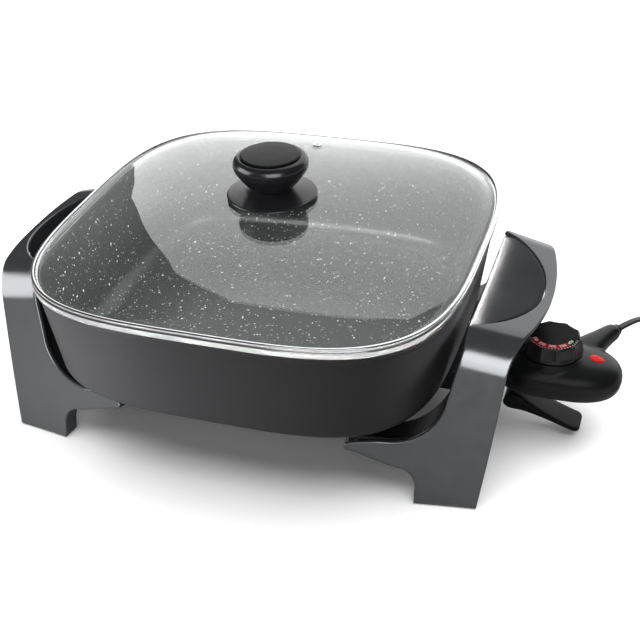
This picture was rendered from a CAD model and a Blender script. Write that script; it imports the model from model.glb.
"""Looks of a square electric skillet: its surfaces, finishes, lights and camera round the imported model."""

import logging
from dataclasses import dataclass
from enum import Enum
from typing import Callable, ClassVar, Sequence

import bmesh
import bpy
import numpy as np
from mathutils import Matrix


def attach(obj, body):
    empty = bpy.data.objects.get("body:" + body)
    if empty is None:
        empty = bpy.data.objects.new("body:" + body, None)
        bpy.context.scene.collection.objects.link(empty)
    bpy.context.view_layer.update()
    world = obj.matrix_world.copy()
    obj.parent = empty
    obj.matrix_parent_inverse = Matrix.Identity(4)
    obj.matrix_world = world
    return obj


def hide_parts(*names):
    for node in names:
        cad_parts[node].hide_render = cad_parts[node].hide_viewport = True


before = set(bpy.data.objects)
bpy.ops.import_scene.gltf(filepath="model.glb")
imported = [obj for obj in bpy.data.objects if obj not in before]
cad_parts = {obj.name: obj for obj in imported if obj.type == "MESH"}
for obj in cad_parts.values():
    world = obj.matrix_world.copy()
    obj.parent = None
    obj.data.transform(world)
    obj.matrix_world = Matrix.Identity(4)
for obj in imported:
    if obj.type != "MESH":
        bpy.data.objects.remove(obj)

log = logging.getLogger("skillet")
Array = np.ndarray
Object = bpy.types.Object
Material = bpy.types.Material
Socket = bpy.types.NodeSocket
MM = 0.001
TAU = 2 * np.pi
CREASE = 32.0
IMAGE_PX = 640
SENSOR_MM = 36.0

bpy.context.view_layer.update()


# ---------- sizes shared by the pieces, in millimetres, from the pan's middle ----------


@dataclass(frozen=True)
class Sizes:
    """The appliance's main sizes, as the solids have them: a is a half width, n a superellipse's exponent."""

    pan_x: float = -27.25
    rim_a: float = 154.0
    rim_z: float = 140.0
    base_z: float = 61.0
    floor_z: float = 66.0
    rim_n: float = 3.6
    base_n: float = 3.7
    lid_a: float = 160.0
    lid_top_z: float = 148.5
    dome_h: float = 23.0
    glass_t: float = 4.0
    reach: float = 211.5
    bow_r: float = 228.0
    inner_x: float = 163.7
    handle_z: float = 126.0
    handle_t: float = 3.5
    bend_r: float = 30.0
    leg_end_y: float = 89.5
    lean: float = np.radians(13.0)
    slope: float = np.radians(11.0)
    toe: float = np.radians(6.0)
    inlay_r: float = 78.0
    inlay_x: float = 205.0
    house_x: float = 224.0
    probe_top: float = 70.5
    dial_x: float = 214.0
    snout_z: float = 63.0
    snout_angle: float = np.radians(58.0)


S = Sizes()
KNOB_Z = S.lid_top_z + S.dome_h


# ---------- curves and surfaces ----------


def unit(v: Array) -> Array:
    """Vectors divided by their own lengths, along the last axis."""
    return v / np.maximum(np.linalg.norm(v, axis=-1, keepdims=True), 1e-12)


def smoothstep(x: Array, low: float, high: float) -> Array:
    """0 below low, 1 above high, and 3t^2 - 2t^3 between."""
    t = np.clip((x - low) / (high - low), 0.0, 1.0)
    return t * t * (3 - 2 * t)


def lobe(v: Array, power: float) -> Array:
    """Signed power, sign(v) |v|^power: under 1 it makes the circle of a cosine and a sine squarer."""
    return np.sign(v) * np.abs(v) ** power


def around(count: int) -> Array:
    """Evenly spaced angles of one full turn, without its end."""
    return np.linspace(0, TAU, count, endpoint=False)


def tilted(u: Array, v: Array, angle: float) -> tuple[Array, Array]:
    """Two coordinates turned in their own plane: u cos - v sin and u sin + v cos."""
    c, s = np.cos(angle), np.sin(angle)
    return u * c - v * s, u * s + v * c


def polar(r: Array, theta: Array, z: Array) -> Array:
    """Points at a radius, an angle and a height about a vertical axis."""
    x, y = r * np.cos(theta), r * np.sin(theta)
    return np.stack([x, y, z + 0 * x], -1)


def curve_through(points: Sequence, count: int) -> Array:
    """Catmull-Rom curve: between two points, the cubic whose end slopes are half the chord of the neighbours.

    Args:
        points: the points that the curve passes through, of any dimension.
        count: how many evenly spaced points to return.

    Returns:
        Points along the curve, evenly spaced by length.
    """
    p = np.asarray(points, float)
    pad = np.vstack([2 * p[0] - p[1], p, 2 * p[-1] - p[-2]])
    t = np.linspace(0, 1, 24, endpoint=False)[None, :, None]
    a, b, c, d = (pad[k : len(pad) - 3 + k, None, :] for k in range(4))
    q = 0.5 * (2 * b + (c - a) * t + (2 * a - 5 * b + 4 * c - d) * t**2 + (3 * b - a - 3 * c + d) * t**3)
    q = np.vstack([q.reshape(-1, p.shape[1]), p[-1:]])
    return resample(q, count)


def resample(path: Array, count: int) -> Array:
    """The same line with evenly spaced points.

    Args:
        path: points along a line.
        count: how many points to return.

    Returns:
        Points at equal distances along the line, its ends included.
    """
    run = np.concatenate([[0], np.cumsum(np.linalg.norm(np.diff(path, axis=0), axis=1))])
    at = np.linspace(0, run[-1], count)
    return np.stack([np.interp(at, run, path[:, k]) for k in range(path.shape[1])], 1)


def rounded(corners: Sequence, radius: float, steps: int = 4) -> Array:
    """Outline with its corners replaced by quadratic curves that reach one radius to either side.

    Args:
        corners: the corners of an open outline; its two ends stay sharp.
        radius: how far from the corner the rounding starts.
        steps: straight pieces in each rounding.

    Returns:
        The rounded outline's points.
    """
    p = np.asarray(corners, float)
    back, ahead = p[:-2] - p[1:-1], p[2:] - p[1:-1]
    shorter = np.minimum(np.linalg.norm(back, axis=1), np.linalg.norm(ahead, axis=1))
    reach = np.minimum(radius, 0.48 * shorter)[:, None]
    a, b = p[1:-1] + unit(back) * reach, p[1:-1] + unit(ahead) * reach
    t = np.linspace(0, 1, steps + 1)[None, :, None]
    q = (1 - t) ** 2 * a[:, None] + 2 * t * (1 - t) * p[1:-1, None] + t**2 * b[:, None]
    return np.vstack([p[:1], q.reshape(-1, p.shape[1]), p[-1:]])


def squircle_r(theta: Array, a: Array, n: Array, b: Array | None = None) -> Array:
    """Radius of a superellipse: (|cos/a|^n + |sin/b|^n)^(-1/n)."""
    b = a if b is None else b
    return (np.abs(np.cos(theta) / a) ** n + np.abs(np.sin(theta) / b) ** n) ** (-1 / n)


def squircle_rings(a: Array, n: Array, z: Array, count: int = 288) -> Array:
    """Rings of superellipses one above another.

    Args:
        a: half width of each ring.
        n: exponent of each ring: 2 is a circle, and a larger one is squarer.
        z: height of each ring.
        count: points round each ring.

    Returns:
        Grid of points, one row for each ring.
    """
    theta = around(count)[None, :]
    a, n, z = (np.asarray(v, float)[:, None] for v in (a, n, z))
    return polar(squircle_r(theta, np.maximum(a, 1e-6), n), theta, z)


def lathe(profile: Array, count: int = 160, centre: tuple[float, float] = (0.0, 0.0)) -> Array:
    """Profile of radius and height turned about a vertical axis.

    Args:
        profile: rows of radius and height.
        count: points round the axis.
        centre: where the axis stands, in x and y.

    Returns:
        Grid of points, one ring for each point of the profile.
    """
    return polar(profile[:, :1], around(count)[None, :], profile[:, 1:2]) + [*centre, 0.0]


def add_object(name: str, data: bpy.types.ID) -> Object:
    """A new object of the scene, at the origin.

    Args:
        name: its name.
        data: its mesh, camera or light.

    Returns:
        The object.
    """
    obj = bpy.data.objects.new(name, data)
    bpy.context.scene.collection.objects.link(obj)
    return obj


class Shell:
    """Gathers grids of points into one mesh."""

    def __init__(self) -> None:
        """Start with nothing in it."""
        self.verts: list[Array] = []
        self.faces: list = []
        self.slots: list[int] = []
        self.count = 0

    def grid(self, p: Array, loop_rows: bool = False, caps: bool = True) -> "Shell":
        """Add a surface given as rows and columns of points; the last column joins the first.

        The faces are turned round where the enclosed volume, which is the sum of a . (b x c) over their
        corners, is negative.

        Args:
            p: points, shaped rows by columns by 3, in millimetres from the pan's middle.
            loop_rows: the last row joins the first.
            caps: close the first and last rows with a fan round their middle, where the rows don't join.

        Returns:
            The shell itself.
        """
        rows, cols = p.shape[:2]
        r, c = np.arange(rows if loop_rows else rows - 1)[:, None], np.arange(cols)[None, :]
        r1, c1 = (r + 1) % rows, (c + 1) % cols
        quads = np.stack([r * cols + c, r * cols + c1, r1 * cols + c1, r1 * cols + c], -1).reshape(-1, 4)
        verts = p.reshape(-1, 3)
        tris = np.zeros((0, 3), int)
        if caps and not loop_rows:
            verts = np.vstack([verts, p[0].mean(0), p[-1].mean(0)])
            first, second = np.arange(cols), (np.arange(cols) + 1) % cols
            middle, last = rows * cols, (rows - 1) * cols
            start = np.stack([second, first, np.full(cols, middle)], 1)
            end = np.stack([last + first, last + second, np.full(cols, middle + 1)], 1)
            tris = np.vstack([start, end])
        a, b, d, e = (verts[quads[:, k]] for k in range(4))
        volume = np.einsum("ij,ij->", a, np.cross(b, d)) + np.einsum("ij,ij->", a, np.cross(d, e))
        volume += np.einsum("ij,ij->", verts[tris[:, 0]], np.cross(verts[tris[:, 1]], verts[tris[:, 2]]))
        turn = -1 if volume < 0 else 1
        for group in (quads, tris):
            self.faces.extend((group[:, ::turn] + self.count).tolist())
        self.slots.extend([0] * (len(quads) + len(tris)))
        self.verts.append(verts)
        self.count += len(verts)
        return self

    def object(self, name: str, finishes: Sequence[Material], crease: float = CREASE) -> Object:
        """Make the mesh, in metres, with smooth faces, and sharp edges where it bends more than the crease.

        Args:
            name: the piece's name.
            finishes: its materials, in the order of the slots.
            crease: the angle past which an edge is sharp, in degrees.

        Returns:
            The new object.
        """
        mesh = bpy.data.meshes.new(name)
        verts = (np.vstack(self.verts) + [S.pan_x, 0, 0]) * MM
        mesh.from_pydata(verts.tolist(), [], self.faces)
        mesh.polygons.foreach_set("use_smooth", np.ones(len(self.faces), bool))
        mesh.polygons.foreach_set("material_index", np.array(self.slots, np.int32))
        mesh.set_sharp_from_angle(angle=np.radians(crease))
        for finish in finishes:
            mesh.materials.append(finish)
        mesh.validate()
        mesh.update()
        return add_object(name, mesh)


def place(obj: Object, body: str, slot: str, *nodes: str) -> Object:
    """Hang a piece on its body, name its slot and let it stand for the solids it replaces.

    Args:
        obj: the piece.
        body: the body it moves with.
        slot: the record's material slot.
        nodes: the solids that it stands for.

    Returns:
        The same piece.
    """
    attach(obj, body)
    if nodes:
        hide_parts(*nodes)
    log.info("%s: %d faces, rides on %s", obj.name, len(obj.data.polygons), body)
    return obj


@dataclass
class Assembly:
    """Pieces that belong together and ride on one body, built with the shared finishes."""

    body: ClassVar[str] = "base"
    finishes: dict[str, Material]

    def piece(
        self, shell: Shell, name: str, finish: str, slot: str, *nodes: str, crease: float = CREASE,
    ) -> Object:
        """Make a shell into a mesh of one finish, and place it on the body.

        Args:
            shell: its surface.
            name: the piece's name.
            finish: its finish, by name.
            slot: the record's material slot.
            nodes: the solids that it stands for.
            crease: the angle past which an edge is sharp, in degrees.

        Returns:
            The new piece.
        """
        return place(shell.object(name, [self.finishes[finish]], crease), self.body, slot, *nodes)

    def dress(self, finish: str, *nodes: str) -> None:
        """Give solids that keep their own shape a finish."""
        for name in nodes:
            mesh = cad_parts[name].data
            mesh.materials.clear()
            mesh.materials.append(self.finishes[finish])


# ---------- finishes ----------


class Nodes:
    """Short way to add and join shader nodes in one tree."""

    def __init__(self, tree: bpy.types.NodeTree) -> None:
        """Work in this tree."""
        self.tree = tree

    def add(self, kind: str, **values: object) -> bpy.types.Node:
        """Add a node; a value that is a socket is linked, and any other is set.

        Args:
            kind: the node's type name without its ShaderNode prefix.
            values: its properties by name, and its inputs by name with spaces as underscores.

        Returns:
            The new node.
        """
        node = self.tree.nodes.new("ShaderNode" + kind)
        for key, value in values.items():
            if hasattr(node, key) and not key[0].isupper():
                setattr(node, key, value)
                continue
            name = key[3:] if key.startswith("In_") else key.replace("_", " ")
            socket = node.inputs[int(name)] if name.isdigit() else node.inputs[name]
            if isinstance(value, Socket):
                self.tree.links.new(value, socket)
            else:
                socket.default_value = value
        return node

    def math(self, operation: str, *values: object, clamp: bool = False) -> Socket:
        """Result of one Math node on up to three values or sockets."""
        inputs = {f"In_{k}": v for k, v in enumerate(values)}
        return self.add("Math", operation=operation, use_clamp=clamp, **inputs).outputs[0]

    def ramp(self, value: object, low: float, high: float) -> Socket:
        """Smooth step of a value, from 0 at low to 1 at high."""
        node = self.add("MapRange", interpolation_type="SMOOTHSTEP", Value=value, From_Min=low, From_Max=high)
        return node.outputs["Result"]

    def mix(self, factor: object, a: object, b: object) -> Socket:
        """Blend of two colours.

        Args:
            factor: the share of the second, from 0 to 1.
            a: the first colour.
            b: the second.

        Returns:
            The blended colour.
        """
        node = self.add("Mix", data_type="RGBA")
        for index, value in ((0, factor), (6, a), (7, b)):
            if isinstance(value, Socket):
                self.tree.links.new(value, node.inputs[index])
            else:
                node.inputs[index].default_value = value
        return node.outputs[2]

    def end(self, shader: Socket) -> None:
        """Let the material show this shader."""
        self.tree.links.new(shader, self.add("OutputMaterial").inputs[0])


def blank(name: str) -> tuple[Material, Nodes]:
    """A new material with no nodes yet.

    Args:
        name: its name.

    Returns:
        The material and its nodes helper.
    """
    material = bpy.data.materials.new(name)
    material.use_nodes = True
    material.node_tree.nodes.clear()
    return material, Nodes(material.node_tree)


def effect(name: str, inputs: dict[str, float], outputs: Sequence[str], fill: Callable) -> bpy.types.NodeTree:
    """A shader node group, made once and found again by its name.

    Args:
        name: the group's name.
        inputs: its number inputs with their usual values.
        outputs: the names of its number outputs.
        fill: builds the inside from the nodes helper and the input sockets, and returns one socket an output.

    Returns:
        The group's tree.
    """
    if name in bpy.data.node_groups:
        return bpy.data.node_groups[name]
    tree = bpy.data.node_groups.new(name, "ShaderNodeTree")
    for key, value in inputs.items():
        socket = tree.interface.new_socket(name=key, in_out="INPUT", socket_type="NodeSocketFloat")
        socket.default_value = value
    for key in outputs:
        tree.interface.new_socket(name=key, in_out="OUTPUT", socket_type="NodeSocketFloat")
    start, end = tree.nodes.new("NodeGroupInput"), tree.nodes.new("NodeGroupOutput")
    results = fill(Nodes(tree), start.outputs)
    for key, socket in zip(outputs, results):
        tree.links.new(socket, end.inputs[key])
    return tree


COAT_ROUGHNESS = 0.08
FLECK_WARP = 0.0011
FLECK_SHARPNESS = 14.0
BUMP_DEPTH = 0.0003


def grain_group() -> bpy.types.NodeTree:
    """Fine moulded grain: noise of the given scale, and slow drifts of gloss at 0.03 times that scale."""

    def fill(n: Nodes, g: bpy.types.bpy_prop_collection) -> list:
        """Two noises on object coordinates.

        Args:
            n: the helper of the group's tree.
            g: the group's inputs.

        Returns:
            The fine noise and the drift.
        """
        at = n.add("TexCoord").outputs["Object"]
        fine = n.add("TexNoise", Vector=at, Scale=g["Scale"], Detail=2.0).outputs["Fac"]
        slow = n.math("MULTIPLY", g["Scale"], 0.03)
        wide = n.add("TexNoise", Vector=at, Scale=slow, Detail=3.0).outputs["Fac"]
        drift = n.math("MULTIPLY", n.math("SUBTRACT", wide, 0.5), g["Drift"])
        return [fine, drift]

    return effect("moulded grain", {"Scale": 2500.0, "Drift": 0.12}, ("Height", "Drift"), fill)


def fleck_group() -> bpy.types.NodeTree:
    """Stone flecks: cells whose middles are white out to a radius that differs from cell to cell."""

    def fill(n: Nodes, g: bpy.types.bpy_prop_collection) -> list:
        """Random radius of the nearest cell less the distance to its middle, steepened and cut to 0 and 1.

        Args:
            n: the helper of the group's tree.
            g: the group's inputs.

        Returns:
            The flecks' mask.
        """
        at = n.add("TexCoord").outputs["Object"]
        warp = n.add("TexNoise", Vector=at, Scale=900.0, Detail=1.0).outputs["Color"]
        bent = n.add("VectorMath", operation="MULTIPLY_ADD", In_0=warp, In_1=[FLECK_WARP] * 3, In_2=at)
        cell = n.add("TexVoronoi", Vector=bent.outputs[0], Scale=g["Scale"])
        random = n.add("SeparateColor", Color=cell.outputs["Color"]).outputs[0]
        size = n.math("MULTIPLY", n.math("POWER", random, g["Rarity"]), g["Size"])
        edge = n.math("SUBTRACT", size, cell.outputs["Distance"])
        return [n.math("MULTIPLY", edge, FLECK_SHARPNESS, clamp=True)]

    return effect("stone flecks", {"Scale": 180.0, "Rarity": 6.0, "Size": 0.3}, ("Mask",), fill)


class Gloss(Enum):
    """How a moulded or painted surface shines, as its roughness."""

    MATT = 0.62
    SATIN = 0.38
    SEMI = 0.24


@dataclass(frozen=True)
class Finish:
    """A surface with fine grain in its height and slow drifts in its gloss."""

    name: str
    colour: tuple[float, float, float]
    roughness: float = Gloss.SATIN.value
    metallic: float = 0.0
    coat: float = 0.0
    grain: float = 2500.0
    bump: float = 0.1
    drift: float = 0.12
    specular: float = 0.5
    tint: float = 0.12

    def shader(self) -> tuple[Material, Nodes, bpy.types.Node]:
        """Material with its grain, and a colour that drifts a little with the gloss.

        Returns:
            The material, its nodes helper and its Principled BSDF.
        """
        material, n = blank(self.name)
        group = n.add("Group", node_tree=grain_group(), Scale=self.grain, Drift=self.drift)
        share = self.tint / max(self.drift, 0.01)
        lum = n.math("ADD", 1.0, n.math("MULTIPLY", group.outputs["Drift"], share))
        colour = n.add("Mix", data_type="RGBA", blend_type="MULTIPLY")
        colour.inputs[0].default_value = 1.0
        colour.inputs[6].default_value = (*self.colour, 1.0)
        n.tree.links.new(n.add("CombineColor", Red=lum, Green=lum, Blue=lum).outputs[0], colour.inputs[7])
        bsdf = n.add("BsdfPrincipled", Base_Color=colour.outputs[2], Metallic=self.metallic)
        bsdf.inputs["Specular IOR Level"].default_value = self.specular
        rough = n.math("ADD", group.outputs["Drift"], self.roughness, clamp=True)
        n.tree.links.new(rough, bsdf.inputs["Roughness"])
        if self.bump:
            height = n.add("Bump", Height=group.outputs["Height"], Strength=self.bump, Distance=BUMP_DEPTH)
            n.tree.links.new(height.outputs[0], bsdf.inputs["Normal"])
        if self.coat:
            bsdf.inputs["Coat Weight"].default_value = self.coat
            bsdf.inputs["Coat Roughness"].default_value = COAT_ROUGHNESS
        n.end(bsdf.outputs[0])
        material.diffuse_color = (*self.colour, 1.0)
        return material, n, bsdf

    def material(self) -> Material:
        """The finished material."""
        return self.shader()[0]


@dataclass(frozen=True)
class StoneCoating(Finish):
    """Grey nonstick with white flecks of two kinds, each given by its scale, rarity and size."""

    fleck: tuple[float, float, float] = (0.58, 0.585, 0.58)
    big: tuple[float, float, float] = (480.0, 17.0, 0.5)
    small: tuple[float, float, float] = (800.0, 13.0, 0.54)
    small_share: float = 0.9

    def material(self) -> Material:
        """Grey coat, with the flecks mixed over it.

        Returns:
            The finished material.
        """
        material, n, bsdf = self.shader()
        big, small = (
            n.add("Group", node_tree=fleck_group(), Scale=scale, Rarity=rarity, Size=size).outputs[0]
            for scale, rarity, size in (self.big, self.small)
        )
        mask = n.math("MAXIMUM", big, n.math("MULTIPLY", small, self.small_share))
        base = bsdf.inputs["Base Color"].links[0].from_socket
        n.tree.links.new(n.mix(mask, base, (*self.fleck, 1.0)), bsdf.inputs["Base Color"])
        return material


@dataclass(frozen=True)
class ClearGlass:
    """Tempered glass that lets light fall through to what lies under it."""

    name: str
    colour: tuple[float, float, float] = (0.93, 0.95, 0.945)
    ior: float = 1.45

    def material(self) -> Material:
        """Refracting glass for the eye, and a clear tint for shadow rays.

        Returns:
            The finished material.
        """
        material, n = blank(self.name)
        bsdf = n.add("BsdfPrincipled", Base_Color=(*self.colour, 1.0), Roughness=0.0, IOR=self.ior)
        bsdf.inputs["Transmission Weight"].default_value = 1.0
        clear = n.add("BsdfTransparent", Color=(*self.colour, 1.0))
        shadow = n.add("LightPath").outputs["Is Shadow Ray"]
        mix = n.add("MixShader", In_0=shadow, In_1=bsdf.outputs[0], In_2=clear.outputs[0])
        n.end(mix.outputs[0])
        material.diffuse_color = (*self.colour, 0.35)
        return material


@dataclass(frozen=True)
class DialPrint(Finish):
    """Gloss black face with a red arc, in polar coordinates about the dial's axis.

    Each of the arc's four edges is a pair: where it starts to show, and where it is full.
    """

    arc: tuple[float, float, float] = (0.32, 0.008, 0.012)
    inner_r: tuple[float, float] = (0.0118, 0.0121)
    outer_r: tuple[float, float] = (0.0176, 0.0173)
    first_angle: tuple[float, float] = (-2.75, -2.70)
    last_angle: tuple[float, float] = (-0.62, -0.66)

    def material(self) -> Material:
        """The face's finish, with the arc between two radii over a third of the turn.

        Returns:
            The finished material.
        """
        material, n, bsdf = self.shader()
        at = n.add("TexCoord").outputs["Object"]
        off = (-(S.dial_x + S.pan_x) * MM, 0.0, 0.0)
        local = n.add("VectorMath", operation="ADD", In_0=at, In_1=off).outputs[0]
        x, y = (n.add("SeparateXYZ", Vector=local).outputs[k] for k in (0, 1))
        r = n.math("SQRT", n.math("ADD", n.math("MULTIPLY", x, x), n.math("MULTIPLY", y, y)))
        angle = n.math("ARCTAN2", y, x)
        band = n.math("MULTIPLY", n.ramp(r, *self.inner_r), n.ramp(r, *self.outer_r))
        side = n.math("MULTIPLY", n.ramp(angle, *self.first_angle), n.ramp(angle, *self.last_angle))
        red = n.math("MULTIPLY", band, side)
        base = bsdf.inputs["Base Color"].links[0].from_socket
        n.tree.links.new(n.mix(red, base, (*self.arc, 1.0)), bsdf.inputs["Base Color"])
        return material


@dataclass(frozen=True)
class RedLens:
    """Translucent red plastic with a faint glow of its own colour."""

    name: str
    colour: tuple[float, float, float] = (0.50, 0.008, 0.008)
    glow: float = 0.3

    def material(self) -> Material:
        """Red gloss that also emits its own drifting colour.

        Returns:
            The finished material.
        """
        gloss = Finish(self.name, self.colour, Gloss.SEMI.value, specular=0.12, bump=0.03)
        material, n, bsdf = gloss.shader()
        bsdf.inputs["Emission Strength"].default_value = self.glow
        n.tree.links.new(bsdf.inputs["Base Color"].links[0].from_socket, bsdf.inputs["Emission Color"])
        return material


def make_finishes() -> dict[str, Material]:
    """Every finish of the appliance, by the name that the pieces ask for.

    Returns:
        The materials by name.
    """
    plain = [
        Finish("pan_outside", (0.020, 0.020, 0.021), 0.40, specular=0.22, grain=1800.0, bump=0.16),
        StoneCoating("pan_stone", (0.026, 0.028, 0.027), 0.25, specular=0.42, grain=1500.0, bump=0.03),
        Finish("handle_paint", (0.092, 0.095, 0.099), 0.19, metallic=0.8, grain=3500.0, bump=0.05),
        Finish("handle_inlay", (0.006, 0.0063, 0.007), 0.22, specular=0.05, bump=0.03),
        Finish("black_phenolic", (0.010, 0.010, 0.011), Gloss.SATIN.value, bump=0.15),
        Finish("knob_phenolic", (0.007, 0.007, 0.008), 0.22, specular=0.35, bump=0.04),
        Finish("knob_inset", (0.010, 0.0105, 0.011), 0.3, specular=0.08, bump=0.03),
        Finish("rim_steel", (0.80, 0.80, 0.81), 0.15, metallic=1.0, grain=4000.0, bump=0.03, drift=0.04),
        Finish("plated_steel", (0.60, 0.60, 0.58), 0.3, metallic=1.0, grain=3000.0),
        Finish("dark_sheath", (0.11, 0.10, 0.095), 0.45, metallic=0.8, grain=2500.0, bump=0.3),
        Finish("cast_aluminium", (0.58, 0.58, 0.59), 0.42, metallic=1.0, grain=1500.0, bump=0.35),
        Finish("glazed_ceramic", (0.78, 0.74, 0.66), 0.3, grain=1500.0, bump=0.1, tint=0.2),
        Finish("foot_rubber", (0.016, 0.016, 0.016), Gloss.MATT.value, grain=2200.0, bump=0.3),
        Finish("probe_gloss", (0.008, 0.0085, 0.009), 0.34, specular=0.3, bump=0.04),
        Finish("dial_black", (0.012, 0.012, 0.012), 0.35, grain=3000.0, bump=0.12),
        Finish("lever_grey", (0.008, 0.009, 0.010), 0.4, specular=0.15, grain=3000.0, bump=0.12),
        Finish("brass", (0.72, 0.52, 0.25), 0.25, metallic=1.0),
        Finish("cord_vinyl", (0.018, 0.0185, 0.020), 0.36, specular=0.3, grain=2500.0, bump=0.12, tint=0.2),
        Finish("plug_vinyl", (0.014, 0.014, 0.015), 0.45, grain=2500.0, bump=0.15),
        Finish("white_print", (0.80, 0.80, 0.80), 0.4, bump=0.02),
        DialPrint("dial_print", (0.004, 0.004, 0.004), 0.3, specular=0.04, bump=0.02),
        RedLens("red_lens"),
        Finish("lamp_amber", (0.8, 0.35, 0.1), 0.2, coat=0.5),
        ClearGlass("tempered_glass"),
    ]
    return {finish.name: finish.material() for finish in plain}


# ---------- pan ----------


@dataclass
class Pan(Assembly):
    """Square deep pan with its stone-flecked inside, and the parts that hang under it."""

    wall_low_a: float = 148.5
    edge_r: float = 14.0
    wall: float = 3.2
    fillet_r: float = 17.0
    wall_angle: float = np.radians(80)
    lip: float = 4.5
    round_a: float = 100.0

    def outside(self) -> Array:
        """Profile from the middle of the underside to the rim: flat, quarter round, sloped wall, lip.

        Returns:
            Rows of half width and height.
        """
        t = np.linspace(0, self.wall_angle, 14)
        flat = self.wall_low_a - self.edge_r
        edge = np.stack([flat + self.edge_r * np.sin(t), S.base_z + self.edge_r * (1 - np.cos(t))], 1)
        base = np.stack([np.array([8, 40, 80, 115, 130]), np.full(5, S.base_z)], 1)
        top = np.array([S.rim_a + self.wall, S.rim_z - 5.5])
        wall = edge[-1] + np.linspace(0, 1, 18)[1:, None] * (top - edge[-1])
        lip = S.rim_a + self.lip
        turned_out = [(S.rim_a + 3.6, 135.6), (lip, 136.2), (lip, S.rim_z), (S.rim_a + 2, S.rim_z)]
        rim = rounded([top, *turned_out], 0.9)
        return np.vstack([base, edge, wall, rim[1:]])

    def inside(self) -> Array:
        """Profile from the rim to the middle of the floor: rounded edge, sloped wall, fillet, floor.

        Returns:
            Rows of half width and height.
        """
        flat = self.wall_low_a - self.wall - self.fillet_r
        t = np.linspace(self.wall_angle, 0, 16)
        fillet = np.stack([flat + self.fillet_r * np.sin(t), S.floor_z + self.fillet_r * (1 - np.cos(t))], 1)
        rim = rounded([(S.rim_a + 2, S.rim_z), (S.rim_a, S.rim_z), (S.rim_a - 0.4, S.rim_z - 5)], 1.2)
        wall = rim[-1] + np.linspace(0, 1, 18)[1:-1, None] * (fillet[0] - rim[-1])
        floor = np.stack([np.array([115, 95, 70, 40, 8]), np.full(5, S.floor_z)], 1)
        return np.vstack([rim, wall, fillet, floor])

    def build(self) -> None:
        """Make the pan, and dress the solids under it."""
        out, inn = self.outside(), self.inside()
        profile = np.vstack([out, inn[1:]])
        n = np.interp(profile[:, 1], (S.base_z, S.rim_z), (S.base_n, S.rim_n))
        middle = profile[:, 0] < self.round_a
        n[middle] = 2.0 + (S.base_n - 2.0) * profile[middle, 0] / self.round_a
        top = len(out) - 1
        p = squircle_rings(profile[:, 0], n, profile[:, 1])
        cols = p.shape[1]
        shell = Shell().grid(p)
        row = np.arange(len(profile) - 1).repeat(cols)
        fans = [0] * cols + [1] * cols
        shell.slots = (row >= top).astype(int).tolist() + fans
        pan = shell.object("pan", [self.finishes["pan_outside"], self.finishes["pan_stone"]])
        place(pan, self.body, "pan_coating", "pan_body", "pan_bottom")
        self.dress("cast_aluminium", "pan_studs", "heat_spreader", "sensor_socket")
        self.dress("dark_sheath", "heating_element")
        self.dress("plated_steel", "element_clips", "clip_screws", "guard_screws", "bracket_screws",
                   "handle_screws")
        self.dress("black_phenolic", "terminal_guard")
        self.dress("glazed_ceramic", "terminal_insulators")
        self.dress("rim_steel", "terminal_pins")


# ---------- lid ----------


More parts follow.
